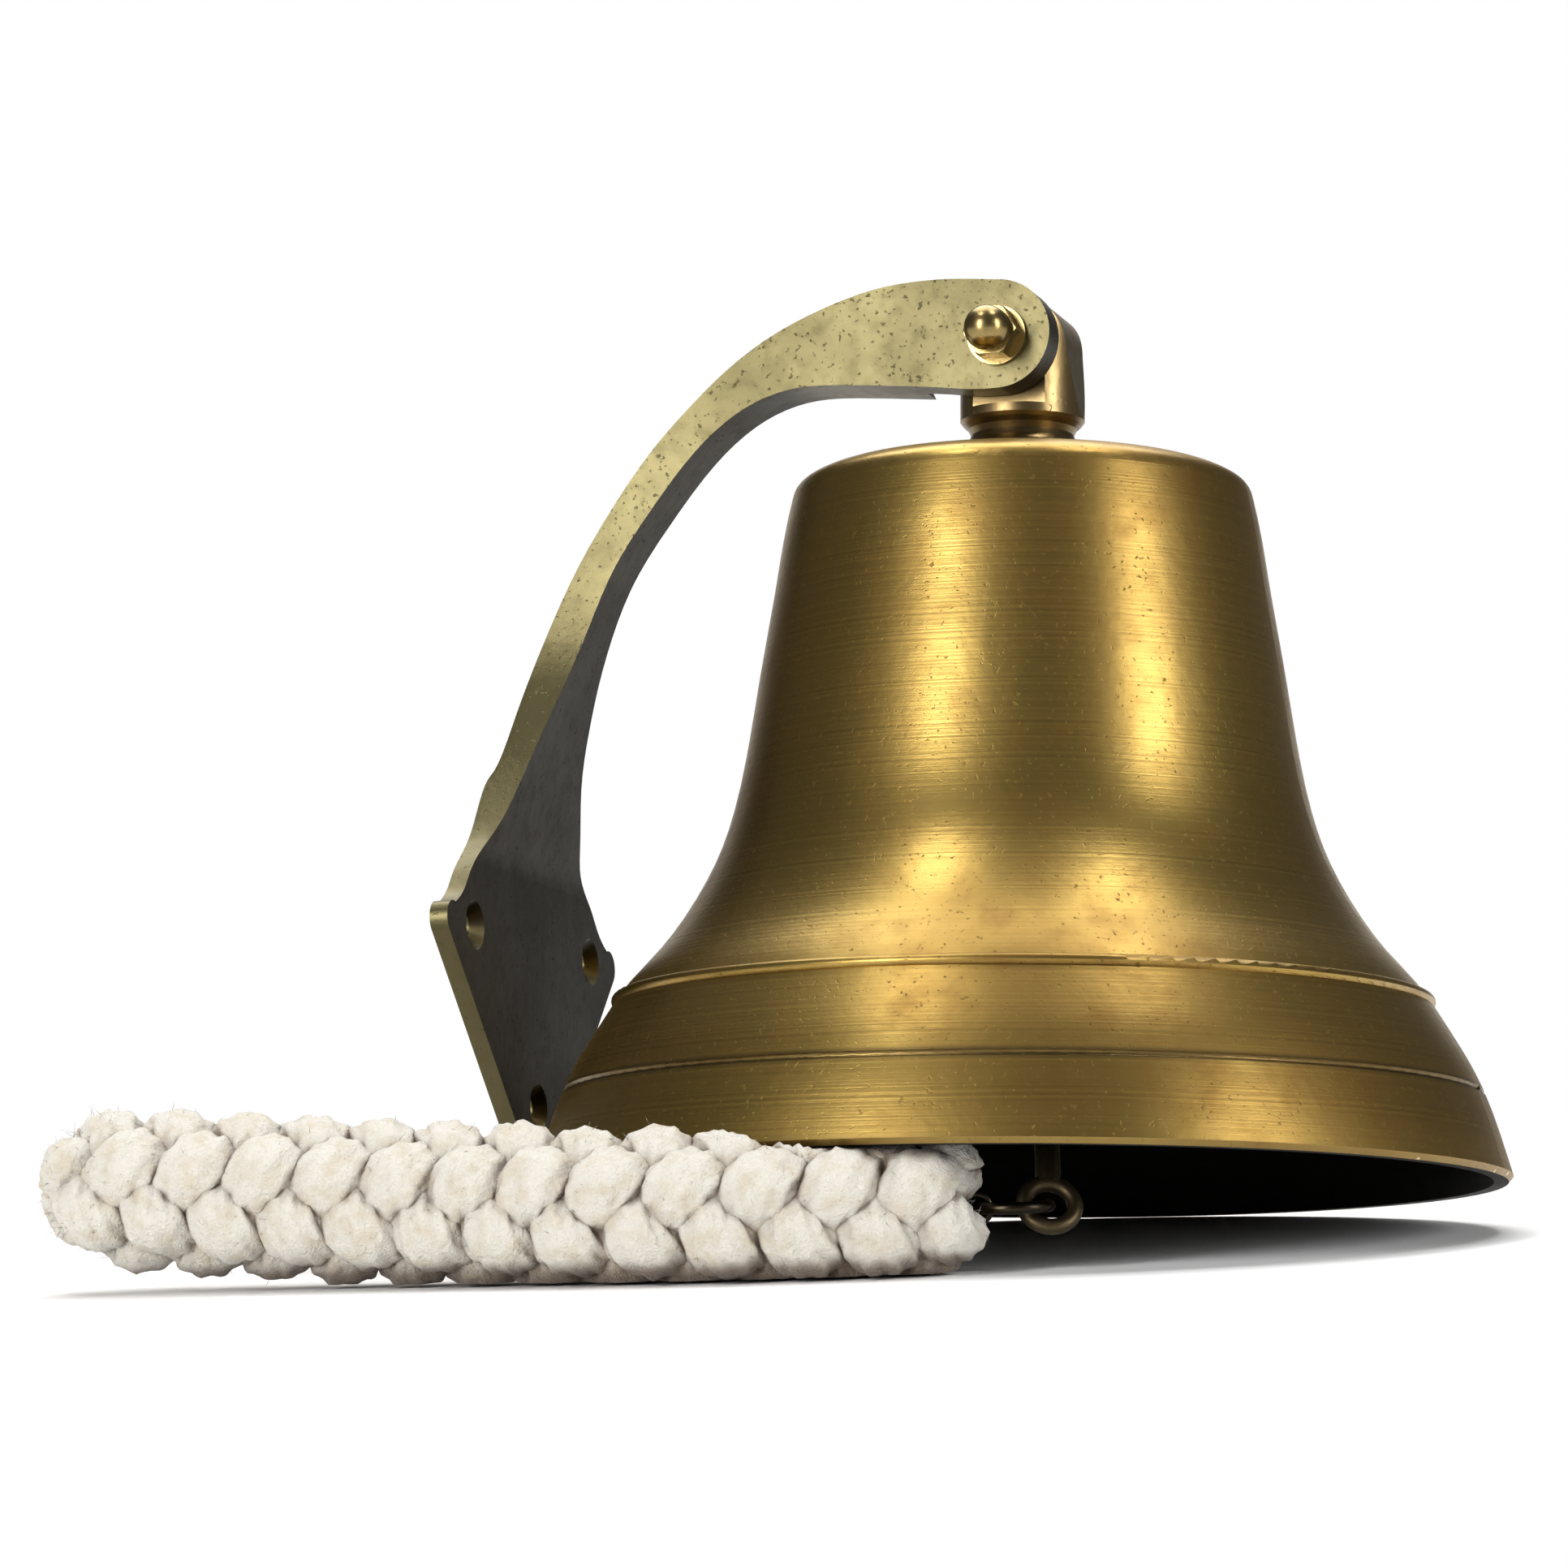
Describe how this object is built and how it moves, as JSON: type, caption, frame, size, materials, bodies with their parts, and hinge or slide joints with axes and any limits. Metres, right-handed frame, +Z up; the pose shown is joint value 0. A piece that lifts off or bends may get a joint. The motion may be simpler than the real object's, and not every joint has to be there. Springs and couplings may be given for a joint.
{
  "type": "ship bell",
  "caption": "Flared brass bell leaning on its rope lanyard, hung by a lug from an arched wall bracket with a kite-shaped plate, with an inside clapper.",
  "frame": {"origin": "middle of the underside of the metal parts as the bell stands mouth down, z 0 is the table", "axes": "+X from the wall bracket towards the bell in the bracket's own plane, +Y away from the side the rope leaves by, +Z up from the table"},
  "size_m": [0.2683, 0.2208, 0.2028],
  "materials": {
    "casting_brass": "antiqued satin",
    "hardware_brass": "antiqued satin",
    "bell_brass": "antiqued satin",
    "hanger_brass": "antiqued satin",
    "bush_bronze": "machined",
    "clapper_brass": "dull cast",
    "ring_brass": "satin",
    "washer_fibre": "matte",
    "whipping_twine": "twisted twine",
    "rope_cotton": "braided cotton"
  },
  "bodies": {
    "bracket": {"bracket_casting": "casting_brass", "pivot_bolt": "hardware_brass", "near_washer": "hardware_brass", "far_washer": "hardware_brass", "acorn_nut": "hardware_brass", "far_nut": "hardware_brass", "thrust_washer": "washer_fibre"},
    "bell": {"bell_shell": "bell_brass", "hanger": "hanger_brass", "pivot_bush": "bush_bronze", "clapper_eye_bolt": "hardware_brass", "clamp_washer": "hardware_brass", "clamp_nut": "hardware_brass"},
    "clapper": {"clapper_rod": "clapper_brass", "clapper_ball": "clapper_brass", "ball_nut": "hardware_brass", "clapper_tail": "clapper_brass"},
    "lanyard": {"lanyard_ring": "ring_brass", "eye_pin": "ring_brass", "rope_whipping": "whipping_twine", "lanyard_rope": "rope_cotton", "rope_end": "rope_cotton"}
  },
  "joints": [
    {"name": "bell_swing", "type": "hinge", "parent": "bracket", "child": "bell", "pos_m": [0.00389, 0.02251, 0.18748], "axis": [0, 0.9917, -0.1288], "range_deg": [-40, 0.25]},
    {"name": "clapper_swing", "type": "hinge", "parent": "bell", "child": "clapper", "pos_m": [0.00389, 0.01659, 0.14186], "axis": [0.9427, 0.3309, -0.043], "range_deg": [0, 55]},
    {"name": "lanyard_droop", "type": "hinge", "parent": "clapper", "child": "lanyard", "pos_m": [0.03089, -0.07716, 0.01242], "axis": [0.3881, -0.9216, 0], "range_deg": [0, 55]}
  ]
}
